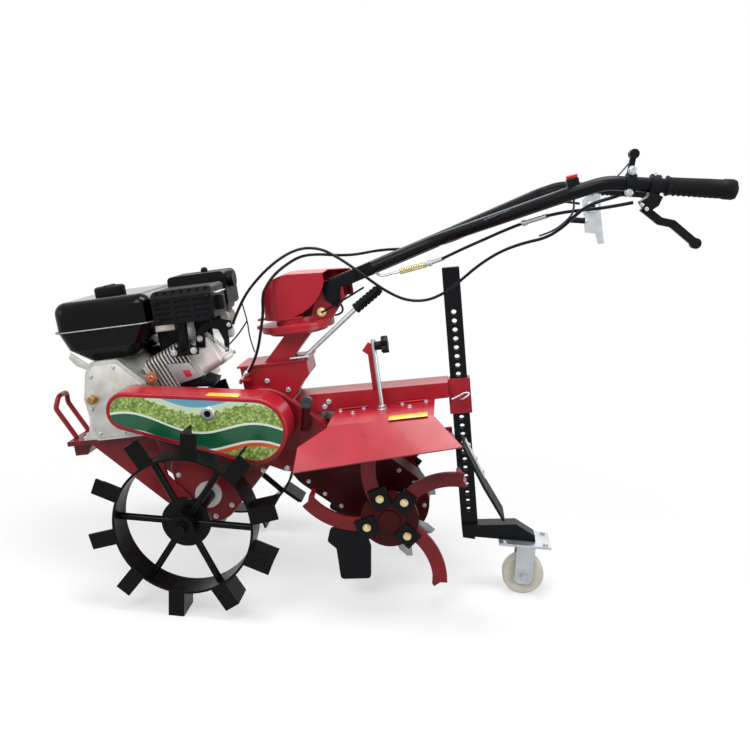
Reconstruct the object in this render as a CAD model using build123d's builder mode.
"""Walk-behind power tiller on lugged steel wheels, with a belt-driven gearbox and a rear tine rotor.

Every piece is drawn in the chassis frame: origin on the wheel axle, +X forward, +Y to the machine's
left, +Z up, in millimetres. The finished machine is then set down as it parks: nose down on a lug of
the left wheel, two lugs of the right wheel and the tail wheel, with the floor at Z = 0.
"""

import math
import os

from build123d import *

# Clearances: between pieces that move, and between pieces that are bolted or pressed together
RUN = 0.3
FIT = 0.05

# Lugged drive wheels on one live axle
TIP_R = 192
RIM_R = 142
RIM_T = 5
RIM_W = 60
TRACK = 430
LUG_COUNT = 10
LUG_T = 5
LUG_FOLD = 32
SPOKE_COUNT = 6
SPOKE_TURN = 30
SPOKE_D = 14
HUB_DISC_R = 50
HUB_DISC_T = 10
HUB_R = 26
HUB_L = 76
AXLE_R = 15
STUB_R = 12
STUB_L = 14

# Gearbox housing: circles (x, z, radius) that the outlines of its leg and its main part run round
LEG_CIRCLES = ((0, 0, 68), (40, 62, 36), (-95, 105, 75))
HOUSING_CIRCLES = ((-148, 138, 83), (-226, 100, 58), (-190, 75, 45))
CASE_HALF = 58
CASE_ROUND = 6
SEAL_R = 29
SEAL_T = 8
BREATHER_FOOT = (-236, 124)
BREATHER_HEAD = (-250, 184)
BREATHER_Y = 76
BREATHER_NECK_R = 9
BREATHER_CAP_R = 15
BREATHER_CAP_T = 12

# Engine bed with its web plates and tow block
BED_TOP = 151
BED_T = 10
BED_FRONT = 292
BED_REAR = 60
BED_LIP = 2
WEB_T = 6
WEB_FRONT = 239
WEB_OUTLINE = ((95, -8), (48, -42), (40, 0), (82, 52))
WEB_REAR = 92
TOW_REAR = 244
TOW_HALF = 40
TOW_DROP = 29
TOW_TAPER = 20

# Bumper loop
BUMPER_R = 5.5
BUMPER_HALF = 30
BUMPER_BEND = 14
BUMPER_FOOT = 286
BUMPER_KNEE = (320, 222)
BUMPER_TOP = (313, 247)
BUMPER_TUCK = 11

# Fuel tank: two pressed halves on a welded seam
TANK_FRONT = 254
TANK_REAR = 42
TANK_LEFT = 95
TANK_RIGHT = -150
TANK_BOTTOM = 322
TANK_SEAM = 392
TANK_TOP = 452
TANK_WALL = 2
TANK_CORNER = 28
TANK_SHOULDER = 24
HAUNCH_FRONT = 243
HAUNCH_REAR = 68
HAUNCH_Z = 350
HAUNCH_INSET = 12
SUMP_FRONT = 210
SUMP_REAR = 106
SUMP_INSET = 30
SEAM_LIP = 6
SEAM_T = 2
CAP_X = 165
CAP_Y = -20
CAP_R = 33
CAP_H = 20
CAP_ROUND = 4

# Engine crankcase, cylinder and starter
CRANK_X = 100
CRANK_Z = 245
CRANKCASE = (
    (84, BED_TOP),
    (218, BED_TOP),
    (226, 244),
    (211, 302),
    (196, TANK_BOTTOM),
    (138, TANK_BOTTOM),
    (84, 266),
)
BLOCK_CORNER = 8
BLOCK_LEFT = 80
BLOCK_RIGHT = -72
CYLINDER_TILT = 23
BARREL_START = 20
BARREL_W = 96
BARREL_H = 84
BARREL_L = 110
FIN_COUNT = 12
FIN_PITCH = 8
FIN_START = 36
FIN_T = 3
FIN_W = 132
FIN_H = 104
FIN_CORNER = 14
ROCKER_W = 96
ROCKER_H = 76
ROCKER_L = 52
ROCKER_CORNER = 16
ROCKER_ROUND = 8
RECOIL_X = 120
RECOIL_Z = 239
RECOIL_R = 80
RECOIL_L = 70
RECOIL_ROUND = 14

# Silencer guard and air cleaner, each on a strap from the rocker cover
MUFFLER_FRONT = 29
MUFFLER_REAR = -98
MUFFLER_BOTTOM = 384
MUFFLER_TOP = 452
MUFFLER_LEFT = 112
MUFFLER_RIGHT = 20
MUFFLER_CORNER = 8
MUFFLER_BEVEL = 14
LOUVRE_L = 32
LOUVRE_H = 5
LOUVRE_D = 3
LOUVRE_COLUMNS = 3
LOUVRE_ROWS = 4
LOUVRE_PITCH_X = 40
LOUVRE_PITCH_Z = 11
SLOT_COUNT = 7
SLOT_PITCH = 17
SLOT_W = 8
SLOT_H = 12
CLEANER_FRONT = 38
CLEANER_REAR = -90
CLEANER_BOTTOM = 392
CLEANER_TOP = 470
CLEANER_LEFT = -30
CLEANER_RIGHT = -120
CLEANER_CORNER = 10
SNORKEL_R = 18
SNORKEL_Y = -60
SNORKEL_DROP = 20
SNORKEL_L = 14
MUFFLER_STRAP_Y = 38
STRAP_X = -46
STRAP_W = 36
STRAP_T = 5
STRAP_FOOT = 320
BRACKET_T = 4
BRACKET_OUTLINE = (
    (-28, 322),
    (-33, 357),
    (-59, 373),
    (-88, 377),
    (-112, 370),
    (-112, 354),
    (-102, 350),
    (-101, 328),
    (-96, 306),
    (-89, 306),
    (-90, 331),
    (-82, 355),
    (-62, 360),
    (-50, 345),
    (-48, 320),
)

# Belt guard between the crankshaft and the gearbox input
GUARD_FRONT = (105, 226)
GUARD_FRONT_R = 40
GUARD_REAR = (-152, 156)
GUARD_REAR_R = 69
GUARD_INNER = 96
GUARD_OUTER = 165
GUARD_WALL = 3
GUARD_ROUND = 4
GUARD_RIM = 9
PANEL_T = 2
INPUT_BOSS_R = 46
CRANK_BOSS_R = 24

# Handle base, column and turret
BASE_FRONT = -112
BASE_REAR = -256
BASE_TOP = 270
BASE_OUTLINE = ((-258, 236), (-228, 205), (-212, 180), (-116, 160))
BASE_HALF = 45
BASE_LIP = 5
BASE_PLATE = 4
TAB_REAR = -134
TAB_Z = 240
TAB_T = 5
TAB_REACH = 20
COLUMN_FRONT = -160
COLUMN_L = 58
COLUMN_SHIFT = 57
COLUMN_HALF = 32
TURRET_X = -242
TURRET_Z = 331
COLLAR_R = 62
COLLAR_T = 7
DISC_R = 78
DISC_T = 7
DISC_EAR = 88
EAR_W = 20
PIN_R = 12
PIN_L = 12
CHEEK_T = 6
CHEEK_OUTLINE = ((-318, 0), (-352, 40), (-350, 80), (-306, 79))
CHEEK_FRONT = -272
PIVOT = (-304, 368)
PIVOT_R = 6
SPACER_R = 46
SPACER_T = 11
COVER_FRONT = -174
COVER_REAR = -376
COVER_HALF = 48
COVER_TOP = 449
COVER_BROW = ((-170, 398), (-192, 430), (-246, 449))
COVER_FALL = 9
COVER_WALL = 2.5
PLATE_REAR = -262
PLATE_EAR = 16
WINDOW_EDGE = ((-236, 360), (-291, 384), (-317, 424))
LOBE_FRONT = -334
LOBE_Z = 384
LOBE_Y = -30

# Handlebar
STEM_START = (-312, 409)
STEM_END = (-560, 478)
STEM_W = 40
STEM_H = 28
ARM_R = 12
ARM_BEND = 80
ARM_START = (-420, 440)
ARM_FORK = (-560, 479)
ARM_ELBOW = (-790, 537)
ELBOW_INSET = 20
BEND_X = -850
GRIP_Y = 290
GRIP_R = 17
GRIP_CAP = 4
GRIP_START = (-945, 530)
GRIP_END = (-1058, 508)

# Controls on the handlebar and behind the column
CLAMP_T = 5
CLAMP_L = 16
LEVER_X = -928
LEVER_ROUTE = ((-922, 508), (-906, 500), (-932, 474), (-952, 467), (-987, 430))
LEVER_W = 13
LEVER_T = 12
LEVER_BALL_R = 9
PERCH_W = 22
PERCH_T = 24
CONTROL_X = -919
CONTROL_OUTLINE = ((-941, 512), (-898, 512), (-898, 434), (-922, 428), (-926, 403), (-940, 403), (-938, 470))
CONTROL_T = 4
CONTROL_HUB = (-919, 491)
CONTROL_HUB_R = 14
CONTROL_HUB_T = 10
CONTROL_ROD = ((-905, 460), (-866, 468))
CONTROL_ROD_R = 5
THROTTLE_X = -889
THROTTLE_TOP = (-898, 588)
THROTTLE_W = 9
THROTTLE_T = 8
THROTTLE_KNOB_R = 8
SWITCH_X = -797
SWITCH_W = 20
SWITCH_H = 36
SWITCH_TILT = -8
SHIFT_Y = 41
SHIFT_ROUTE = ((-250, BASE_TOP), (-374, 361), (-430, 397))
SHIFT_R = 5
SHIFT_GRIP_R = 11

# Rear beam, hood, flaps and depth lever
BEAM_FRONT = -222
BEAM_TOP = 190
BEAM_BOTTOM = 150
BEAM_FALL = 8
BEAM_HALF = 34
HOOD_Z = 147
HOOD_FRONT = -300
HOOD_REAR = -513
HOOD_CREASE = 160
HOOD_EDGE = 222
HOOD_EDGE_Z = 98
HOOD_EDGE_DROP = 17
HOOD_T = 3
HOOD_NOSE = 70
HOOD_CHEEK = 10
HOOD_CHEEK_Z = 120
HOOD_TAIL = 49
FLAP_SLOT = 148
FLAP_T = 5
FLAP_KNEE = (-592, 12)
FLAP_END = (-622, -58)
DEPTH_X = -404
DEPTH_Y = 70
DEPTH_TOP = 300
DEPTH_R = 5
DEPTH_BAR_W = 22
DEPTH_BAR_T = 5
DEPTH_BAR_LOW = 195
DEPTH_BAR_DROP = 12
KNOB_R = 17
KNOB_LOBE_R = 6
KNOB_LOBES = 5
KNOB_T = 14
KNOB_DROP = 16

# Tail post in its sleeve, with foot, fork and tail wheel
POST_X = -566
POST_TILT = 2.3
POST_SIDE = 36
POST_DEPTH = 18
POST_TOP = 418
POST_BOTTOM = -144
POST_WALL = 4
HOLE_R = 5.5
HOLE_PITCH = 19
HOLE_COUNT = 24
HOLE_TOP = 325
SLEEVE_WALL = 5
SLEEVE_TOP = 184
SLEEVE_BOTTOM = 108
SLEEVE_PLAY = 0.5
FOOT_H = 28
FOOT_HALF = 18
FOOT_KNEE = (-655, -153)
FOOT_END = (-692, -184)
TAIL_X = -658
TAIL_Z = -274
TAIL_R = 45
TAIL_W = 30
TAIL_ROUND = 4
TAIL_BOLT_R = 6
TAIL_GAP = 4
FORK_T = 5
FORK_TOP = 81
FORK_PLATE_L = 112
FORK_PLATE_SHIFT = 5
FORK_PLATE_W = 84
FORK_LEG_W = 40
FORK_DROP = 18
FORK_ROUND = 15

# Tine rotor
ROTOR_X = -394
ROTOR_Z = -72
CASE_FOOT_R = 80
CASE_NECK = (-262, 50)
CASE_NECK_R = 84
CASE_FOOT_HALF = 30
SHAFT_R = 16
ROTOR_HUB_R = 27
ROTOR_GAP = 8
FLANGE_R = 60
FLANGE_T = 8
FLANGE_Y = 118
BLADE_W = 30
BLADE_T = 8
BLADE_ROOT_R = 46
BLADE_MID_R = 122
BLADE_TIP_R = 174
BLADE_SWEEP = 12
BLADE_LEG = 40
LEFT_BLADES = (84, 154, -137, -54)
RIGHT_BLADES = (16, 91, 156, -149)
RIGHT_HOE_TURN = 30
HOE_OUTLINE = ((56, -22), (128, -10), (139, -40), (122, -58), (122, -128), (58, -132), (48, -60))
HOE_T = 6
HOE_ROUND = 8

# Control cables: diameter, and hand-picked points along each route
CABLE_D = 6
CABLE_BEND_SHARE = 0.45
THROTTLE_ROUTE = (
    (-114.7, 51, 362),
    (-140, 51, 408),
    (-185, 50, 452),
    (-233, 46, 484),
    (-277, 40, 499),
    (-318, 38, 493),
    (-350, 41, 472),
    (-382, 48, 446),
    (-410, 54, 420),
    (-440, 56, 393),
    (-478, 57, 368),
    (-520, 59, 361),
    (-560, 67, 373),
    (-595, 80, 396),
    (-632, 100, 423),
    (-675, 125, 446),
    (-718, 152, 458),
    (-755, 190, 464),
    (-780, 228, 480),
    (-797, 262, 498),
    (-814, 282, 512),
    (-838, 293, 520),
    (-862, 296, 523),
    (-877.2, 292, 527),
)
GEAR_ROUTE = (
    (-120, 58, 247.3),
    (-135, 60, 261),
    (-152, 63, 284),
    (-166, 67, 313),
    (-177, 70, 346),
    (-187, 68, 380),
    (-192, 74, 418),
    (-214, 57, 449),
    (-242, 46, 468),
    (-276, 36, 483),
    (-312, 26, 481),
    (-346, 12, 473),
    (-384, -8, 468),
    (-424, -30, 470),
    (-464, -50, 467),
    (-504, -59, 461),
    (-546, -65, 461),
    (-590, -84, 467),
    (-634, -124, 478),
    (-680, -172, 488),
    (-726, -220, 500),
    (-772, -263, 510),
    (-816, -289, 516),
    (-856, -297, 513),
    (-892, -292, 502),
)
CLUTCH_ROUTE = (
    (-428, 33, 427),
    (-468, 40, 423),
    (-507, 50, 429),
    (-552, 66, 439),
    (-600, 90, 456),
    (-645, 118, 471),
    (-690, 152, 487),
    (-735, 192, 500),
    (-775, 232, 507),
    (-812, 262, 508),
    (-850, 281, 507),
    (-892, 290, 510),
)

LEFT, RIGHT = 1, -1
pieces = {}


def side(y):
    """Plane seen from the left: local x runs forward, local y up, and it extrudes towards -Y."""
    return Plane(origin=(0, y, 0), x_dir=(1, 0, 0), z_dir=(0, -1, 0))


def spoke_direction(angle):
    """Unit vector in the wheel's plane, from straight down (0) towards the front (90 degrees)."""
    a = math.radians(angle)
    return Vector(math.sin(a), 0, -math.cos(a))


def spoke_tangent(angle):
    """Unit vector across spoke_direction, towards growing angles."""
    a = math.radians(angle)
    return Vector(math.cos(a), 0, math.sin(a))


def keep(builder, label):
    """Keeps a finished piece under its name."""
    builder.part.label = label
    pieces[label] = builder


def hull_of(circles):
    """Draws the outline that runs round the circles (x, z, radius) in the active sketch."""
    for x, z, radius in circles:
        with Locations((x, z)):
            Circle(radius)
    make_hull()


def rod(start, end, radius):
    """Adds a round rod between two points to the active part."""
    axis = Vector(end) - Vector(start)
    with BuildSketch(Plane(origin=start, z_dir=axis)) as section:
        Circle(radius)
    extrude(section.sketch, amount=axis.length)


# How it parks: the right wheel rests on the flat between two lugs
heel = (math.hypot(TIP_R, LUG_T), -math.atan2(LUG_T, TIP_R) + 2 * math.pi / LUG_COUNT)
toe = (math.hypot(TIP_R, LUG_FOLD - LUG_T), math.atan2(LUG_FOLD - LUG_T, TIP_R))
flat_angle = math.atan2(
    toe[0] * math.cos(toe[1]) - heel[0] * math.cos(heel[1]),
    heel[0] * math.sin(heel[1]) - toe[0] * math.sin(toe[1]),
)
flat_height = heel[0] * math.cos(heel[1] - flat_angle)
LEAN = math.degrees(math.atan((TIP_R - flat_height) / TRACK))
inner_reach = TRACK / 2 - RIM_W / 2 + TAIL_W / 2
tail_drop = TIP_R - TAIL_R - inner_reach * math.tan(math.radians(LEAN))
PITCH = math.degrees(
    math.acos(tail_drop / math.hypot(TAIL_X, TAIL_Z)) - math.atan2(-TAIL_X, -TAIL_Z)
)
LEFT_PHASE = PITCH
RIGHT_PHASE = PITCH - math.degrees(flat_angle)


def lug_wheel(label, hand, phase):
    """A rim band with angle-iron lugs, bar spokes and a hub; phase turns the first lug from straight down."""
    mid_y = hand * TRACK / 2
    with BuildPart() as wheel:
        with BuildSketch(side(mid_y)):
            Circle(RIM_R)
            Circle(RIM_R - RIM_T, mode=Mode.SUBTRACT)
        extrude(amount=RIM_W / 2, both=True)
        with BuildSketch(side(mid_y)):
            Circle(HUB_DISC_R)
        extrude(amount=HUB_DISC_T / 2, both=True)
        with BuildSketch(side(mid_y)):
            Circle(HUB_R)
        extrude(amount=HUB_L / 2, both=True)
        for k in range(SPOKE_COUNT):
            along = spoke_direction(phase + SPOKE_TURN + 360 * k / SPOKE_COUNT)
            centre = Vector(0, mid_y, 0)
            rod(centre + along * HUB_R, centre + along * (RIM_R - RIM_T / 2), SPOKE_D / 2)
        for k in range(LUG_COUNT):
            angle = phase + 360 * k / LUG_COUNT
            along = spoke_direction(angle)
            root = along * (RIM_R - RIM_T + FIT)
            seat = Plane(
                origin=(root.X, mid_y, root.Z), x_dir=spoke_tangent(angle), z_dir=along
            )
            with BuildSketch(seat):
                with Locations((-LUG_T / 2, 0)):
                    Rectangle(LUG_T, RIM_W)
                with Locations((LUG_FOLD / 2 - LUG_T, -hand * (RIM_W - LUG_T) / 2)):
                    Rectangle(LUG_FOLD, LUG_T)
            extrude(amount=TIP_R - RIM_R + RIM_T - FIT)
        with BuildSketch(side(mid_y)):
            Circle(AXLE_R + FIT)
        extrude(amount=HUB_L, both=True, mode=Mode.SUBTRACT)
    keep(wheel, label)


# Drive axle with a stub at each end, and its wheels
AXLE_HALF = (TRACK + HUB_L) / 2
with BuildPart() as axle:
    with BuildSketch(side(0)):
        Circle(AXLE_R)
    extrude(amount=AXLE_HALF, both=True)
    with BuildSketch(side(0)):
        Circle(STUB_R)
    extrude(amount=AXLE_HALF + STUB_L, both=True)
keep(axle, "wheel_axle")
lug_wheel("left_wheel", LEFT, LEFT_PHASE)
lug_wheel("right_wheel", RIGHT, RIGHT_PHASE)

# Gearbox: its plain form cuts the pieces that seat on it
with BuildPart() as gearbox_form:
    for circles in (LEG_CIRCLES, HOUSING_CIRCLES):
        with BuildSketch(side(CASE_HALF)):
            hull_of(circles)
        extrude(amount=2 * CASE_HALF)
with BuildPart() as gearbox:
    add(gearbox_form.part)
    fillet(gearbox.faces().filter_by(Axis.Y).edges(), radius=CASE_ROUND)
    with BuildSketch(side(0)):
        Circle(AXLE_R + RUN)
    extrude(amount=CASE_HALF, both=True, mode=Mode.SUBTRACT)
keep(gearbox, "gearbox_case")

with BuildPart() as seals:
    for y in (CASE_HALF + SEAL_T, -CASE_HALF):
        with BuildSketch(side(y)):
            Circle(SEAL_R)
            Circle(AXLE_R + RUN, mode=Mode.SUBTRACT)
        extrude(amount=SEAL_T)
keep(seals, "axle_seals")

# Oil filler: a bent-out neck on the gearbox's left side, with a round cap that faces outwards
with BuildPart() as breather:
    head = Vector(BREATHER_HEAD[0], BREATHER_Y, BREATHER_HEAD[1])
    rod(Vector(BREATHER_FOOT[0], CASE_HALF - CASE_ROUND, BREATHER_FOOT[1]), head, BREATHER_NECK_R)
    with BuildSketch(Plane(origin=head, z_dir=(0, 1, 0))):
        Circle(BREATHER_CAP_R)
    extrude(amount=BREATHER_CAP_T / 2, both=True)
    add(gearbox.part, mode=Mode.SUBTRACT)
keep(breather, "oil_filler")

# Engine bed: a plate on two webs that lap the gearbox's sides, with a tow block under its front
BED_HALF = CASE_HALF + WEB_T + BED_LIP
BED_LOW = BED_TOP - BED_T
with BuildPart() as bed:
    with BuildSketch(Plane.XY.offset(BED_LOW)):
        with Locations(((BED_FRONT + BED_REAR) / 2, 0)):
            Rectangle(BED_FRONT - BED_REAR, 2 * BED_HALF)
    extrude(amount=BED_T)
    for y in (CASE_HALF + WEB_T, -CASE_HALF):
        with BuildSketch(side(y)):
            Polygon((WEB_FRONT, BED_LOW), *WEB_OUTLINE, (WEB_REAR, BED_LOW), align=None)
        extrude(amount=WEB_T)
    with BuildSketch(side(TOW_HALF)):
        Polygon(
            (BED_FRONT, BED_LOW),
            (BED_FRONT, BED_LOW - TOW_DROP),
            (TOW_REAR + TOW_TAPER, BED_LOW - TOW_DROP),
            (TOW_REAR, BED_LOW),
            align=None,
        )
    extrude(amount=2 * TOW_HALF)
    add(gearbox_form.part, mode=Mode.SUBTRACT)
keep(bed, "engine_bed")

with BuildPart() as bumper:
    with BuildLine() as loop:
        FilletPolyline(
            (BUMPER_FOOT, BUMPER_HALF, BED_TOP),
            (BUMPER_KNEE[0], BUMPER_HALF, BUMPER_KNEE[1]),
            (BUMPER_TOP[0], BUMPER_HALF - BUMPER_TUCK, BUMPER_TOP[1]),
            (BUMPER_TOP[0], BUMPER_TUCK - BUMPER_HALF, BUMPER_TOP[1]),
            (BUMPER_KNEE[0], -BUMPER_HALF, BUMPER_KNEE[1]),
            (BUMPER_FOOT, -BUMPER_HALF, BED_TOP),
            radius=BUMPER_BEND,
        )
    with BuildSketch(Plane(origin=loop.line @ 0, z_dir=loop.line % 0)):
        Circle(BUMPER_R)
    sweep()
    split(bisect_by=Plane.XY.offset(BED_TOP), keep=Keep.TOP)
keep(bumper, "front_bumper")

# Engine crankcase, with a flat top under the fuel tank
with BuildPart() as block:
    with BuildSketch(side(BLOCK_LEFT)) as outline:
        Polygon(*CRANKCASE, align=None)
        fillet(outline.vertices(), radius=BLOCK_CORNER)
    extrude(amount=BLOCK_LEFT - BLOCK_RIGHT)
keep(block, "engine_block")


def cylinder_plane(distance):
    """Plane across the cylinder's axis at a distance from the crankshaft."""
    a = math.radians(CYLINDER_TILT)
    along = Vector(-math.cos(a), 0, math.sin(a))
    centre = Vector(CRANK_X, 0, CRANK_Z) + along * distance
    return Plane(origin=centre, x_dir=(0, 1, 0), z_dir=along)


with BuildPart() as barrel:
    with BuildSketch(cylinder_plane(BARREL_START)):
        Rectangle(BARREL_W, BARREL_H)
    extrude(amount=BARREL_L)
    for k in range(FIN_COUNT):
        with BuildSketch(cylinder_plane(FIN_START + FIN_PITCH * k)):
            RectangleRounded(FIN_W, FIN_H, FIN_CORNER)
        extrude(amount=FIN_T)
    add(block.part, mode=Mode.SUBTRACT)
keep(barrel, "engine_cylinder")

with BuildPart() as rocker:
    with BuildSketch(cylinder_plane(BARREL_START + BARREL_L)):
        RectangleRounded(ROCKER_W, ROCKER_H, ROCKER_CORNER)
    extrude(amount=ROCKER_L)
    fillet(rocker.faces().sort_by(Axis.X)[0].edges(), radius=ROCKER_ROUND)
keep(rocker, "rocker_cover")

with BuildPart() as recoil:
    with BuildSketch(side(BLOCK_RIGHT)):
        with Locations((RECOIL_X, RECOIL_Z)):
            Circle(RECOIL_R)
    extrude(amount=RECOIL_L)
    fillet(recoil.faces().sort_by(Axis.Y)[0].edges(), radius=RECOIL_ROUND)
keep(recoil, "recoil_starter")

# Fuel tank: a tapered lower half and a round-shouldered upper half, each with a seam flange
TANK_CENTRE = ((TANK_FRONT + TANK_REAR) / 2, (TANK_LEFT + TANK_RIGHT) / 2)
TANK_L = TANK_FRONT - TANK_REAR
TANK_W = TANK_LEFT - TANK_RIGHT


def seam_flange(low):
    """The flange round the tank's seam, from the height low, for the active part."""
    with BuildSketch(Plane.XY.offset(low)) as flange:
        with Locations(TANK_CENTRE):
            RectangleRounded(TANK_L + 2 * SEAM_LIP, TANK_W + 2 * SEAM_LIP, TANK_CORNER + SEAM_LIP)
            RectangleRounded(
                TANK_L - 2 * TANK_WALL,
                TANK_W - 2 * TANK_WALL,
                TANK_CORNER - TANK_WALL,
                mode=Mode.SUBTRACT,
            )
    extrude(flange.sketch, amount=SEAM_T)


def tank_tub(wall):
    """The tank's lower half, drawn in by wall, for the active part."""
    levels = (
        (TANK_BOTTOM + wall, SUMP_FRONT, SUMP_REAR, SUMP_INSET),
        (HAUNCH_Z, HAUNCH_FRONT, HAUNCH_REAR, HAUNCH_INSET),
        (TANK_SEAM - SEAM_T, TANK_FRONT, TANK_REAR, 0),
    )
    outlines = []
    for z, front, rear, inset in levels:
        with BuildSketch(Plane.XY.offset(z)) as level:
            with Locations(((front + rear) / 2, TANK_CENTRE[1])):
                RectangleRounded(front - rear - 2 * wall, TANK_W - 2 * (inset + wall), TANK_CORNER - wall)
        outlines.append(level.sketch)
    return loft(outlines, ruled=True, mode=Mode.PRIVATE)


with BuildPart() as tank_lower:
    add(tank_tub(0))
    add(tank_tub(TANK_WALL), mode=Mode.SUBTRACT)
    seam_flange(TANK_SEAM - SEAM_T)
keep(tank_lower, "tank_lower")

with BuildPart() as tank_upper:
    with BuildSketch(Plane.XY.offset(TANK_SEAM + SEAM_T)):
        with Locations(TANK_CENTRE):
            RectangleRounded(TANK_L, TANK_W, TANK_CORNER)
    extrude(amount=TANK_TOP - TANK_SEAM - SEAM_T)
    fillet(tank_upper.faces().sort_by(Axis.Z)[-1].edges(), radius=TANK_SHOULDER)
    offset(amount=-TANK_WALL, openings=tank_upper.faces().sort_by(Axis.Z)[0])
    seam_flange(TANK_SEAM)
keep(tank_upper, "tank_upper")

with BuildPart() as cap:
    with BuildSketch(Plane.XY.offset(TANK_TOP)):
        with Locations((CAP_X, CAP_Y)):
            Circle(CAP_R)
    extrude(amount=CAP_H)
    fillet(cap.faces().sort_by(Axis.Z)[-1].edges(), radius=CAP_ROUND)
keep(cap, "tank_cap")


def engine_strap(y, head):
    """A strap from the rocker cover up to the height head, for the active part."""
    with BuildSketch(side(y)) as strap:
        with Locations((STRAP_X, (head + STRAP_FOOT) / 2)):
            Rectangle(STRAP_W, head - STRAP_FOOT)
    extrude(strap.sketch, amount=STRAP_T)
    add(rocker.part, mode=Mode.SUBTRACT)


# Silencer guard: a pressed box with a slotted top shoulder and rows of louvres on its left face
MUFFLER_MID = ((MUFFLER_FRONT + MUFFLER_REAR) / 2, (MUFFLER_TOP + MUFFLER_BOTTOM) / 2)
with BuildPart() as muffler:
    with BuildSketch(side(MUFFLER_LEFT)):
        with Locations(MUFFLER_MID):
            RectangleRounded(MUFFLER_FRONT - MUFFLER_REAR, MUFFLER_TOP - MUFFLER_BOTTOM, MUFFLER_CORNER)
    extrude(amount=MUFFLER_LEFT - MUFFLER_RIGHT)
    with BuildSketch(Plane.YZ.offset(MUFFLER_REAR)):
        Polygon(
            (MUFFLER_LEFT, MUFFLER_TOP),
            (MUFFLER_LEFT - MUFFLER_BEVEL, MUFFLER_TOP),
            (MUFFLER_LEFT, MUFFLER_TOP - MUFFLER_BEVEL),
            align=None,
        )
    extrude(amount=MUFFLER_FRONT - MUFFLER_REAR, mode=Mode.SUBTRACT)
    louvre_z = MUFFLER_MID[1] - MUFFLER_BEVEL / 2
    with BuildSketch(side(MUFFLER_LEFT)):
        with Locations((MUFFLER_MID[0], louvre_z)):
            with GridLocations(LOUVRE_PITCH_X, LOUVRE_PITCH_Z, LOUVRE_COLUMNS, LOUVRE_ROWS):
                SlotOverall(LOUVRE_L, LOUVRE_H)
    extrude(amount=LOUVRE_D, mode=Mode.SUBTRACT)
    bevel_mid = (MUFFLER_MID[0], MUFFLER_LEFT - MUFFLER_BEVEL / 2, MUFFLER_TOP - MUFFLER_BEVEL / 2)
    with BuildSketch(Plane(origin=bevel_mid, x_dir=(1, 0, 0), z_dir=(0, 1, 1))):
        with GridLocations(SLOT_PITCH, 0, SLOT_COUNT, 1):
            SlotOverall(SLOT_H, SLOT_W, rotation=90)
    extrude(amount=-LOUVRE_D, mode=Mode.SUBTRACT)
    engine_strap(MUFFLER_STRAP_Y, MUFFLER_BOTTOM)
keep(muffler, "muffler_guard")

with BuildPart() as cleaner:
    with BuildSketch(side(CLEANER_LEFT)):
        with Locations(((CLEANER_FRONT + CLEANER_REAR) / 2, (CLEANER_TOP + CLEANER_BOTTOM) / 2)):
            RectangleRounded(CLEANER_FRONT - CLEANER_REAR, CLEANER_TOP - CLEANER_BOTTOM, CLEANER_CORNER)
    extrude(amount=CLEANER_LEFT - CLEANER_RIGHT)
    with BuildSketch(Plane(origin=(CLEANER_REAR, SNORKEL_Y, CLEANER_TOP - SNORKEL_DROP), z_dir=(-1, 0, 0))):
        Circle(SNORKEL_R)
    extrude(amount=SNORKEL_L)
    engine_strap(CLEANER_LEFT - STRAP_T, CLEANER_BOTTOM)
keep(cleaner, "air_cleaner")

# Sheet bracket on the rocker cover's left side, which holds the throttle linkage under the silencer guard
with BuildPart() as bracket:
    with BuildSketch(side(ROCKER_W / 2 + FIT + BRACKET_T)):
        Polygon(*BRACKET_OUTLINE, align=None)
    extrude(amount=BRACKET_T)
keep(bracket, "throttle_bracket")


def guard_outline(inset):
    """Belt guard outline round both pulleys, drawn in by inset, for the active sketch."""
    hull_of(((*GUARD_FRONT, GUARD_FRONT_R - inset), (*GUARD_REAR, GUARD_REAR_R - inset)))


with BuildPart() as guard:
    with BuildSketch(side(GUARD_OUTER)):
        guard_outline(0)
    extrude(amount=GUARD_OUTER - GUARD_INNER)
    fillet(guard.faces().sort_by(Axis.Y)[-1].edges(), radius=GUARD_ROUND)
    with BuildSketch(side(GUARD_OUTER - GUARD_WALL - PANEL_T)):
        guard_outline(GUARD_WALL)
    extrude(amount=GUARD_OUTER, mode=Mode.SUBTRACT)
    with BuildSketch(side(GUARD_OUTER)):
        guard_outline(GUARD_RIM)
    extrude(amount=PANEL_T, mode=Mode.SUBTRACT)
keep(guard, "belt_guard")

with BuildPart() as panel:
    with BuildSketch(side(GUARD_OUTER)):
        guard_outline(GUARD_RIM + FIT)
    extrude(amount=PANEL_T)
keep(panel, "guard_panel")

# Back plate of the guard, on a boss from the gearbox and another from the crankcase
PLATE_BACK = GUARD_INNER - GUARD_WALL
with BuildPart() as backplate:
    with BuildSketch(side(GUARD_INNER)):
        guard_outline(0)
    extrude(amount=GUARD_WALL)
    with BuildSketch(side(PLATE_BACK)):
        with Locations(GUARD_REAR):
            Circle(INPUT_BOSS_R)
    extrude(amount=PLATE_BACK - CASE_HALF)
    with BuildSketch(side(PLATE_BACK)):
        with Locations((GUARD_FRONT[0] + CRANK_BOSS_R / 2, GUARD_FRONT[1])):
            Circle(CRANK_BOSS_R)
    extrude(amount=PLATE_BACK - BLOCK_LEFT)
keep(backplate, "guard_backplate")

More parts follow.
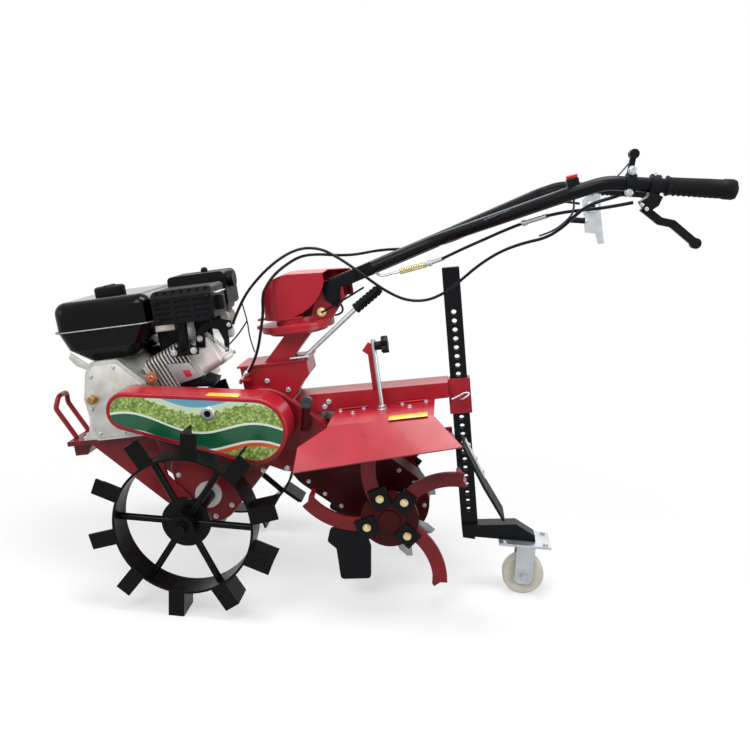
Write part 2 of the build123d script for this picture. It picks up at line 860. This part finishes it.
# Handle base: a box on the gearbox with a lipped top plate, a cable tab and the slanted column
COLUMN_TOP = TURRET_Z - COLLAR_T
with BuildPart() as base_box:
    with BuildSketch(side(BASE_HALF)):
        Polygon((BASE_FRONT, BASE_TOP), (BASE_REAR, BASE_TOP), *BASE_OUTLINE, align=None)
    extrude(amount=2 * BASE_HALF)
    with BuildSketch(Plane.XY.offset(BASE_TOP - BASE_PLATE)):
        with Locations(((BASE_FRONT + BASE_REAR) / 2, 0)):
            Rectangle(BASE_FRONT - BASE_REAR + 2 * BASE_LIP, 2 * (BASE_HALF + BASE_LIP))
    extrude(amount=BASE_PLATE)
    with BuildSketch(Plane.XY.offset(TAB_Z)):
        with Locations(((BASE_FRONT + TAB_REAR) / 2, BASE_HALF + TAB_REACH / 2)):
            Rectangle(BASE_FRONT - TAB_REAR, TAB_REACH)
    extrude(amount=TAB_T)
    with BuildSketch(side(COLUMN_HALF)):
        Polygon(
            (COLUMN_FRONT, BASE_TOP - BASE_PLATE),
            (COLUMN_FRONT - COLUMN_L, BASE_TOP - BASE_PLATE),
            (COLUMN_FRONT - COLUMN_L - COLUMN_SHIFT, COLUMN_TOP),
            (COLUMN_FRONT - COLUMN_SHIFT, COLUMN_TOP),
            align=None,
        )
    extrude(amount=2 * COLUMN_HALF)
    add(gearbox_form.part, mode=Mode.SUBTRACT)
keep(base_box, "handle_base")

turret_axis = Plane(origin=(TURRET_X, 0, TURRET_Z))
with BuildPart() as turret:
    with BuildSketch(turret_axis):
        Circle(COLLAR_R)
    extrude(amount=-COLLAR_T)
    with BuildSketch(turret_axis):
        Circle(DISC_R)
    extrude(amount=DISC_T)
    with BuildSketch(turret_axis):
        Circle(PIN_R)
    extrude(amount=DISC_T + RUN + DISC_T + PIN_L)
keep(turret, "turret_base")

# Handlebar side of the turret: a disc with a front ear, a spacer, two cheeks and the tilt pivot
SWIVEL_Z = TURRET_Z + DISC_T + RUN
SWIVEL_TOP = SWIVEL_Z + DISC_T
with BuildPart() as swivel:
    with BuildSketch(Plane(origin=(TURRET_X, 0, SWIVEL_Z))):
        Circle(DISC_R)
        with Locations((DISC_EAR / 2, 0)):
            Rectangle(DISC_EAR, EAR_W)
        Circle(PIN_R + RUN, mode=Mode.SUBTRACT)
    extrude(amount=DISC_T)
    with BuildSketch(Plane(origin=(TURRET_X, 0, SWIVEL_TOP))):
        Circle(SPACER_R)
        Circle(PIN_R + RUN, mode=Mode.SUBTRACT)
    extrude(amount=SPACER_T)
    for y in (STEM_W / 2 + CHEEK_T, -STEM_W / 2):
        with BuildSketch(side(y)):
            Polygon(
                (CHEEK_FRONT, SWIVEL_TOP),
                *[(x, SWIVEL_TOP + height) for x, height in CHEEK_OUTLINE],
                align=None,
            )
        extrude(amount=CHEEK_T)
    rod((PIVOT[0], STEM_W / 2, PIVOT[1]), (PIVOT[0], -STEM_W / 2, PIVOT[1]), PIVOT_R)
keep(swivel, "turret_top")

# Turret cover: a narrow round-nosed shell on a base plate with an ear, cut away on the left behind the window
# so that the stem shows, with a lobe left on the right
COVER_Z = SWIVEL_TOP + SPACER_T
COVER_L = COVER_FRONT - COVER_REAR
COVER_MID = (COVER_FRONT + COVER_REAR) / 2


def cover_form(wall):
    """The cover's closed form, drawn in by wall."""
    with BuildPart() as form:
        with BuildSketch(Plane(origin=(COVER_MID, 0, COVER_Z))):
            SlotOverall(COVER_L - 2 * wall, 2 * (COVER_HALF - wall))
        extrude(amount=COVER_TOP - COVER_Z)
        with BuildSketch(side(2 * COVER_HALF)):
            with BuildLine():
                brow = ThreePointArc(*[(x - wall, z - wall) for x, z in COVER_BROW])
                Polyline(
                    brow @ 1,
                    (COVER_REAR, COVER_TOP - COVER_FALL - wall),
                    (2 * COVER_REAR, 2 * COVER_TOP),
                    (0, 2 * COVER_TOP),
                    brow @ 0,
                )
            make_face()
        extrude(amount=4 * COVER_HALF, mode=Mode.SUBTRACT)
    return form.part


with BuildPart() as cover:
    add(cover_form(0))
    add(cover_form(COVER_WALL), mode=Mode.SUBTRACT)
    with BuildSketch(side(COVER_HALF)):
        with BuildLine():
            edge = ThreePointArc(*WINDOW_EDGE)
            Polyline(
                edge @ 1,
                (LOBE_FRONT, WINDOW_EDGE[2][1]),
                (LOBE_FRONT, LOBE_Z),
                (2 * COVER_REAR, LOBE_Z),
                (2 * COVER_REAR, 0),
                (WINDOW_EDGE[0][0], 0),
                edge @ 0,
            )
        make_face()
    extrude(amount=2 * COVER_HALF, mode=Mode.SUBTRACT)
    with BuildSketch(Plane.XY):
        Polygon(
            (WINDOW_EDGE[2][0], LOBE_Y),
            (WINDOW_EDGE[2][0], 2 * COVER_HALF),
            (2 * COVER_REAR, 2 * COVER_HALF),
            (2 * COVER_REAR, LOBE_Y),
            align=None,
        )
    extrude(amount=2 * COVER_TOP, mode=Mode.SUBTRACT)
    with BuildSketch(Plane(origin=(COVER_MID, 0, COVER_Z))) as plate:
        SlotOverall(COVER_L, 2 * COVER_HALF)
        with Locations((COVER_FRONT - COVER_MID, 0)):
            Rectangle(2 * PLATE_EAR, EAR_W)
        with Locations((PLATE_REAR - COVER_MID - COVER_L / 2, 0)):
            Rectangle(COVER_L, 4 * COVER_HALF, mode=Mode.SUBTRACT)
        with Locations((TURRET_X - COVER_MID, 0)):
            Circle(PIN_R + RUN, mode=Mode.SUBTRACT)
    extrude(amount=BASE_PLATE)
keep(cover, "turret_cover")

# Handlebar: a box stem between the cheeks, with a tube on each side that spreads out to its grip
with BuildPart() as stem:
    with BuildSketch(side(STEM_W / 2)):
        Polygon(
            (STEM_START[0], STEM_START[1] - STEM_H / 2),
            (STEM_END[0], STEM_END[1] - STEM_H / 2),
            (STEM_END[0], STEM_END[1] + STEM_H / 2),
            (STEM_START[0], STEM_START[1] + STEM_H / 2),
            align=None,
        )
    extrude(amount=STEM_W)
keep(stem, "handle_stem")

GRIP_SLOPE = (GRIP_END[1] - GRIP_START[1]) / (GRIP_END[0] - GRIP_START[0])
ARM_INNER_Y = STEM_W / 2 + ARM_R + FIT


def grip_line(x, hand):
    """Point at x on the straight end of a handlebar tube."""
    return Vector(x, hand * GRIP_Y, GRIP_START[1] + (x - GRIP_START[0]) * GRIP_SLOPE)


def handle_arm(label, hand):
    """One handlebar tube from the stem out to its grip."""
    with BuildPart() as arm:
        with BuildLine() as run:
            FilletPolyline(
                (ARM_START[0], hand * ARM_INNER_Y, ARM_START[1]),
                (ARM_FORK[0], hand * ARM_INNER_Y, ARM_FORK[1]),
                (ARM_ELBOW[0], hand * (GRIP_Y - ELBOW_INSET), ARM_ELBOW[1]),
                grip_line(BEND_X, hand),
                grip_line(GRIP_END[0] + GRIP_CAP, hand),
                radius=ARM_BEND,
            )
        with BuildSketch(Plane(origin=run.line @ 0, z_dir=run.line % 0)):
            Circle(ARM_R)
        sweep()
    keep(arm, label)


def handle_grip(label, hand):
    """A rubber grip over the end of one handlebar tube."""
    start = grip_line(GRIP_START[0], hand)
    end = grip_line(GRIP_END[0], hand)
    along = (end - start).normalized()
    with BuildPart() as grip:
        with BuildSketch(Plane(origin=start, z_dir=along)):
            Circle(GRIP_R)
            Circle(ARM_R + FIT, mode=Mode.SUBTRACT)
        extrude(amount=(end - start).length - GRIP_CAP)
        with BuildSketch(Plane(origin=end, z_dir=along)):
            Circle(GRIP_R)
        extrude(amount=-GRIP_CAP)
    keep(grip, label)


handle_arm("left_arm", LEFT)
handle_arm("right_arm", RIGHT)
handle_grip("left_grip", LEFT)
handle_grip("right_grip", RIGHT)


def tube_clamp(x, hand):
    """A clamp ring round the straight end of a handlebar tube, for the active part."""
    along = grip_line(GRIP_END[0], hand) - grip_line(GRIP_START[0], hand)
    with BuildSketch(Plane(origin=grip_line(x, hand), z_dir=along)) as ring:
        Circle(ARM_R + CLAMP_T)
        Circle(ARM_R + FIT, mode=Mode.SUBTRACT)
    extrude(ring.sketch, amount=CLAMP_L / 2, both=True)


# Hand lever under the left grip, on its perch
with BuildPart() as lever:
    tube_clamp(LEVER_X, LEFT)
    perch_top = grip_line(LEVER_X, LEFT) - Vector(0, 0, ARM_R + CLAMP_T / 2)
    with BuildSketch(side(GRIP_Y)):
        with BuildLine():
            Polyline((perch_top.X, perch_top.Z), *LEVER_ROUTE[:2])
        trace(line_width=PERCH_W)
    extrude(amount=PERCH_T / 2, both=True)
    with BuildSketch(side(GRIP_Y)):
        with BuildLine():
            Polyline(*LEVER_ROUTE[1:])
        trace(line_width=LEVER_W)
        with Locations(LEVER_ROUTE[-1]):
            Circle(LEVER_BALL_R)
    extrude(amount=LEVER_T / 2, both=True)
    add(pieces["left_arm"].part, mode=Mode.SUBTRACT)
keep(lever, "left_lever")

# Sheet-metal control that hangs from the right tube
with BuildPart() as control:
    tube_clamp(CONTROL_X, RIGHT)
    with BuildSketch(side(CONTROL_T / 2 - GRIP_Y)):
        Polygon(
            (CONTROL_OUTLINE[0][0], grip_line(CONTROL_X, RIGHT).Z),
            *CONTROL_OUTLINE[1:],
            align=None,
        )
    extrude(amount=CONTROL_T)
    with BuildSketch(side(CONTROL_HUB_T / 2 - GRIP_Y)):
        with Locations(CONTROL_HUB):
            Circle(CONTROL_HUB_R)
    extrude(amount=CONTROL_HUB_T)
    rod(*[(x, -GRIP_Y, z) for x, z in CONTROL_ROD], CONTROL_ROD_R)
    add(pieces["right_arm"].part, mode=Mode.SUBTRACT)
keep(control, "right_control")

# Throttle lever that stands on the left tube
with BuildPart() as throttle:
    tube_clamp(THROTTLE_X, LEFT)
    stand = grip_line(THROTTLE_X, LEFT) + Vector(0, 0, ARM_R + CLAMP_T / 2)
    with BuildSketch(side(GRIP_Y)):
        with BuildLine():
            Line((stand.X, stand.Z), THROTTLE_TOP)
        trace(line_width=THROTTLE_W)
    extrude(amount=THROTTLE_T / 2, both=True)
    with BuildSketch(side(GRIP_Y)):
        with Locations(THROTTLE_TOP):
            Circle(THROTTLE_KNOB_R)
    extrude(amount=THROTTLE_T, both=True)
keep(throttle, "throttle_lever")

# Kill switch saddled on the left tube's elbow
with BuildPart() as switch:
    seat = Plane(origin=(SWITCH_X, GRIP_Y - ELBOW_INSET, ARM_ELBOW[1])).rotated((0, SWITCH_TILT, 0))
    with BuildSketch(seat):
        Rectangle(SWITCH_W, SWITCH_W)
    extrude(amount=SWITCH_H)
    add(pieces["left_arm"].part, mode=Mode.SUBTRACT)
keep(switch, "kill_switch")

# Gear shift lever beside the column, with a thicker grip
with BuildPart() as shift:
    foot, neck, end = [Vector(x, SHIFT_Y, z) for x, z in SHIFT_ROUTE]
    rod(foot, neck, SHIFT_R)
    rod(neck, end, SHIFT_GRIP_R)
    split(bisect_by=Plane.XY.offset(BASE_TOP), keep=Keep.TOP)
keep(shift, "shift_lever")

# Rear beam and the sleeve that holds the tail post
post_axis = Plane(origin=(POST_X, 0, HOOD_Z), x_dir=(1, 0, 0), z_dir=(0, 0, 1)).rotated((0, -POST_TILT, 0))
SLEEVE_HOLE = POST_SIDE + 2 * SLEEVE_PLAY
SLEEVE_SIDE = SLEEVE_HOLE + 2 * SLEEVE_WALL
SLEEVE_SLOT = POST_DEPTH + 2 * SLEEVE_PLAY

with BuildPart() as sleeve:
    with BuildSketch(post_axis.offset(SLEEVE_BOTTOM - HOOD_Z)):
        Rectangle(SLEEVE_SIDE, SLEEVE_SLOT + 2 * SLEEVE_WALL)
        Rectangle(SLEEVE_HOLE, SLEEVE_SLOT, mode=Mode.SUBTRACT)
    extrude(amount=SLEEVE_TOP - SLEEVE_BOTTOM)
keep(sleeve, "post_sleeve")

with BuildPart() as beam:
    with BuildSketch(side(BEAM_HALF)):
        Polygon(
            (BEAM_FRONT, BEAM_TOP),
            (POST_X, BEAM_TOP - BEAM_FALL),
            (POST_X, BEAM_BOTTOM),
            (BEAM_FRONT, BEAM_BOTTOM),
            align=None,
        )
    extrude(amount=2 * BEAM_HALF)
    add(gearbox_form.part, mode=Mode.SUBTRACT)
    with BuildSketch(post_axis.offset(SLEEVE_BOTTOM - HOOD_Z)):
        with Locations((-SLEEVE_SIDE / 2, 0)):
            Rectangle(2 * SLEEVE_SIDE, 4 * BEAM_HALF)
    extrude(amount=BEAM_TOP - SLEEVE_BOTTOM, mode=Mode.SUBTRACT)
keep(beam, "rear_beam")

# Hood over the rotor: one sheet bent into a flat top and two sloping sides that are deeper in front
with BuildPart() as hood:
    for x, edge_z in (
        (HOOD_REAR - HOOD_TAIL, HOOD_EDGE_Z),
        (HOOD_FRONT + HOOD_NOSE, HOOD_EDGE_Z - HOOD_EDGE_DROP),
    ):
        with BuildSketch(Plane.YZ.offset(x)):
            Polygon(
                (-HOOD_EDGE, edge_z),
                (-HOOD_CREASE, HOOD_Z + HOOD_T),
                (HOOD_CREASE, HOOD_Z + HOOD_T),
                (HOOD_EDGE, edge_z),
                (HOOD_EDGE - HOOD_T, edge_z - HOOD_T),
                (HOOD_CREASE - HOOD_T / 2, HOOD_Z),
                (HOOD_T / 2 - HOOD_CREASE, HOOD_Z),
                (HOOD_T - HOOD_EDGE, edge_z - HOOD_T),
                align=None,
            )
    loft(ruled=True)
    with BuildSketch(side(HOOD_EDGE)):
        Polygon(
            (HOOD_FRONT, HOOD_Z + 2 * HOOD_T),
            (HOOD_FRONT, HOOD_Z),
            (HOOD_FRONT + HOOD_NOSE - HOOD_CHEEK, HOOD_CHEEK_Z),
            (HOOD_FRONT + HOOD_NOSE, HOOD_EDGE_Z - HOOD_EDGE_DROP - 2 * HOOD_T),
            (HOOD_FRONT + 2 * HOOD_NOSE, HOOD_Z),
            align=None,
        )
        Polygon(
            (HOOD_REAR, HOOD_Z + 2 * HOOD_T),
            (HOOD_REAR, HOOD_Z),
            (HOOD_REAR - HOOD_TAIL, HOOD_EDGE_Z),
            (HOOD_REAR - 2 * HOOD_TAIL, HOOD_Z),
            align=None,
        )
    extrude(amount=2 * HOOD_EDGE, mode=Mode.SUBTRACT)
    add(gearbox_form.part, mode=Mode.SUBTRACT)
keep(hood, "rotor_hood")

# Rear flap: a rubber curtain below the hood, left of the tail post
with BuildPart() as flap:
    flap_top = (HOOD_REAR - HOOD_TAIL, HOOD_EDGE_Z - HOOD_T)
    front_line = (flap_top, FLAP_KNEE, FLAP_END)
    rear_line = [(x - FLAP_T, z) for x, z in reversed(front_line)]
    with BuildSketch(side(HOOD_EDGE)):
        Polygon(*front_line, *rear_line, align=None)
    extrude(amount=HOOD_EDGE - FLAP_SLOT)
keep(flap, "rear_flap")

# Depth lever on the hood: a rod with a flat bar in front of it and a star knob behind
with BuildPart() as depth:
    rod((DEPTH_X, DEPTH_Y, HOOD_Z + HOOD_T), (DEPTH_X, DEPTH_Y, DEPTH_TOP), DEPTH_R)
    with BuildSketch(Plane.XY.offset(DEPTH_BAR_LOW)):
        with Locations((DEPTH_X + DEPTH_R, DEPTH_Y)):
            Rectangle(DEPTH_BAR_T, DEPTH_BAR_W)
    extrude(amount=DEPTH_TOP - DEPTH_BAR_DROP - DEPTH_BAR_LOW)
    knob_z = DEPTH_TOP - KNOB_DROP
    with BuildSketch(Plane(origin=(DEPTH_X - DEPTH_R, DEPTH_Y, knob_z), z_dir=(-1, 0, 0))):
        Circle(KNOB_R - KNOB_LOBE_R / 2)
        with PolarLocations(KNOB_R - KNOB_LOBE_R, KNOB_LOBES):
            Circle(KNOB_LOBE_R)
    extrude(amount=KNOB_T)
    with BuildSketch(Plane(origin=(DEPTH_X, DEPTH_Y, knob_z), z_dir=(-1, 0, 0))):
        Circle(DEPTH_R)
    extrude(amount=DEPTH_R + KNOB_T)
keep(depth, "depth_lever")

# Tail post with its foot arm
foot_front = POST_X + POST_SIDE / 2 + (HOOD_Z - POST_BOTTOM) * math.tan(math.radians(POST_TILT))
floor_line = Plane(origin=(TAIL_X, 0, TAIL_Z), x_dir=(1, 0, 0), z_dir=(0, 0, 1)).rotated((0, -PITCH, 0))
with BuildPart() as post:
    with BuildSketch(side(FOOT_HALF)):
        Polygon(
            (foot_front, POST_BOTTOM),
            FOOT_KNEE,
            FOOT_END,
            (FOOT_END[0], FOOT_END[1] - FOOT_H),
            (foot_front, POST_BOTTOM - FOOT_H),
            align=None,
        )
    extrude(amount=2 * FOOT_HALF)
    with BuildSketch(floor_line.offset(FORK_TOP)):
        Rectangle(2 * FORK_PLATE_L, 2 * FORK_PLATE_W)
    extrude(amount=-FORK_TOP, mode=Mode.SUBTRACT)
    with BuildSketch(post_axis.offset(POST_BOTTOM - HOOD_Z - FOOT_H / 2)):
        Rectangle(POST_SIDE, POST_DEPTH)
    extrude(amount=POST_TOP - POST_BOTTOM + FOOT_H / 2)
    with BuildSketch(post_axis.offset(POST_BOTTOM - HOOD_Z)):
        Rectangle(POST_SIDE - 2 * POST_WALL, POST_DEPTH - 2 * POST_WALL)
    extrude(amount=POST_TOP - POST_BOTTOM, mode=Mode.SUBTRACT)
    for k in range(HOLE_COUNT):
        hole = post_axis.offset(HOLE_TOP - k * HOLE_PITCH - HOOD_Z)
        with BuildSketch(Plane(origin=hole.origin, x_dir=hole.x_dir, z_dir=(0, -1, 0))):
            Circle(HOLE_R)
        extrude(amount=POST_DEPTH, both=True, mode=Mode.SUBTRACT)
keep(post, "tail_post")

with BuildPart() as fork:
    with BuildSketch(floor_line.offset(FORK_TOP)):
        with Locations((FORK_PLATE_SHIFT, 0)):
            Rectangle(FORK_PLATE_L, FORK_PLATE_W)
    extrude(amount=-FORK_T)
    with BuildSketch(floor_line.offset(-FORK_DROP)):
        with GridLocations(0, TAIL_W + 2 * TAIL_GAP + FORK_T, 1, 2):
            Rectangle(FORK_LEG_W, FORK_T)
    extrude(amount=FORK_TOP + FORK_DROP - FORK_T / 2)
    fork_axis = Axis(floor_line.origin, floor_line.z_dir)
    fillet(fork.edges().filter_by(Axis.Y).sort_by(fork_axis)[:4], radius=FORK_ROUND)
    with BuildSketch(side(0)):
        with Locations((TAIL_X, TAIL_Z)):
            Circle(TAIL_BOLT_R)
    extrude(amount=TAIL_W / 2 + TAIL_GAP + FORK_T, both=True)
keep(fork, "tail_fork")

with BuildPart() as roller:
    with BuildSketch(side(0)):
        with Locations((TAIL_X, TAIL_Z)):
            Circle(TAIL_R)
    extrude(amount=TAIL_W / 2, both=True)
    fillet(roller.edges(), radius=TAIL_ROUND)
    with BuildSketch(side(0)):
        with Locations((TAIL_X, TAIL_Z)):
            Circle(TAIL_BOLT_R + RUN)
    extrude(amount=TAIL_W, both=True, mode=Mode.SUBTRACT)
keep(roller, "tail_wheel")

# Rotor drive case, hung from the gearbox
with BuildPart() as rotor_case:
    with BuildSketch(side(CASE_FOOT_HALF)):
        hull_of(((ROTOR_X, ROTOR_Z, CASE_FOOT_R), (*CASE_NECK, CASE_NECK_R)))
    extrude(amount=2 * CASE_FOOT_HALF)
    add(gearbox_form.part, mode=Mode.SUBTRACT)
    with BuildSketch(side(0)):
        with Locations((ROTOR_X, ROTOR_Z)):
            Circle(SHAFT_R + RUN)
    extrude(amount=CASE_FOOT_HALF, both=True, mode=Mode.SUBTRACT)
keep(rotor_case, "rotor_case")

SHAFT_HALF = FLANGE_Y + FLANGE_T
with BuildPart() as rotor_shaft:
    with BuildSketch(side(0)):
        with Locations((ROTOR_X, ROTOR_Z)):
            Circle(SHAFT_R)
    extrude(amount=SHAFT_HALF, both=True)
keep(rotor_shaft, "rotor_shaft")


def rotor_plane(y, turn=0):
    """Plane seen from the left with its origin on the rotor's axis, turned about it."""
    return Plane(origin=(ROTOR_X, y, ROTOR_Z), x_dir=spoke_tangent(turn), z_dir=(0, -1, 0))


def rotor_point(radius, angle):
    """A point of the rotor's plane, with the angle from straight down towards the front."""
    along = spoke_direction(angle) * radius
    return (along.X, along.Z)


def tine(y, inward, angle):
    """One swept-back blade whose tip is bent inwards along the shaft, for the active part."""
    tip_angle = angle + 2 * BLADE_SWEEP
    with BuildSketch(rotor_plane(y)) as blade:
        with BuildLine():
            ThreePointArc(
                rotor_point(BLADE_ROOT_R, angle),
                rotor_point(BLADE_MID_R, angle + BLADE_SWEEP),
                rotor_point(BLADE_TIP_R, tip_angle),
            )
        trace(line_width=BLADE_W)
    extrude(blade.sketch, amount=BLADE_T / 2, both=True)
    with BuildSketch(rotor_plane(y + inward * BLADE_LEG / 2)) as leg:
        with Locations(rotor_point(BLADE_TIP_R - BLADE_T / 2, tip_angle)):
            Rectangle(BLADE_W, BLADE_T, rotation=tip_angle)
    extrude(leg.sketch, amount=(BLADE_LEG + BLADE_T) / 2, both=True)


def tine_group(label, hand, angles):
    """The hub, flange and blades on one side of the rotor."""
    hub_start = CASE_FOOT_HALF + ROTOR_GAP
    with BuildPart() as tines:
        with BuildSketch(rotor_plane(hand * (hub_start + FLANGE_Y) / 2)):
            Circle(ROTOR_HUB_R)
        extrude(amount=(FLANGE_Y - hub_start) / 2, both=True)
        with BuildSketch(rotor_plane(hand * FLANGE_Y)):
            Circle(FLANGE_R)
        extrude(amount=FLANGE_T / 2, both=True)
        for angle in angles:
            tine(hand * FLANGE_Y, -hand, angle)
        with BuildSketch(rotor_plane(0)):
            Circle(SHAFT_R + FIT)
        extrude(amount=SHAFT_HALF, both=True, mode=Mode.SUBTRACT)
    keep(tines, label)


def hoe(label, hand, turn):
    """The broad plate bolted to the inner face of the flange, turned about the shaft."""
    plane = rotor_plane(hand * (FLANGE_Y - (FLANGE_T + HOE_T) / 2 - FIT), turn)
    with BuildPart() as plate:
        with BuildSketch(plane) as outline:
            Polygon(*HOE_OUTLINE, align=None)
            fillet(outline.vertices(), radius=HOE_ROUND)
        extrude(amount=HOE_T / 2, both=True)
        with BuildSketch(plane):
            Circle(ROTOR_HUB_R + FIT)
        extrude(amount=HOE_T, both=True, mode=Mode.SUBTRACT)
    keep(plate, label)


tine_group("left_tines", LEFT, LEFT_BLADES)
tine_group("right_tines", RIGHT, RIGHT_BLADES)
hoe("left_hoe", LEFT, 0)
hoe("right_hoe", RIGHT, RIGHT_HOE_TURN)


def cable(label, route):
    """A sheathed cable along its route, with every bend as wide as its two runs allow."""
    points = [Vector(p) for p in route]
    runs = [b - a for a, b in zip(points, points[1:])]
    radii = []
    for before, after in zip(runs, runs[1:]):
        half_turn = math.radians(before.get_angle(after) / 2)
        radii.append(CABLE_BEND_SHARE * min(before.length, after.length) / math.tan(half_turn))
    with BuildPart() as tube:
        with BuildLine() as path:
            FilletPolyline(*points, radius=radii)
        with BuildSketch(Plane(origin=path.line @ 0, z_dir=path.line % 0)):
            Circle(CABLE_D / 2)
        sweep()
    length = sum(edge.length for edge in path.edges())
    filled = tube.part.volume / (math.pi * CABLE_D**2 / 4 * length)
    print(f"{label}: radii {[round(r) for r in radii]}, length {length:.0f}, volume ratio {filled:.4f}")
    keep(tube, label)


cable("throttle_cable", THROTTLE_ROUTE)
cable("gear_cable", GEAR_ROUTE)
cable("clutch_cable", CLUTCH_ROUTE)

# Set down as it parks: turn every piece, then put the floor at Z = 0 under the middle of the machine
turn = Location((0, 0, 0), (LEAN, PITCH, 0))
box = Compound(children=[builder.part.moved(turn) for builder in pieces.values()]).bounding_box()
PARK = Location((-box.center().X, -box.center().Y, -box.min.Z)) * turn

os.makedirs("parts", exist_ok=True)
for label, builder in pieces.items():
    parked = builder.part.moved(PARK)
    parked.label = label
    export_step(parked, f"parts/{label}.step")
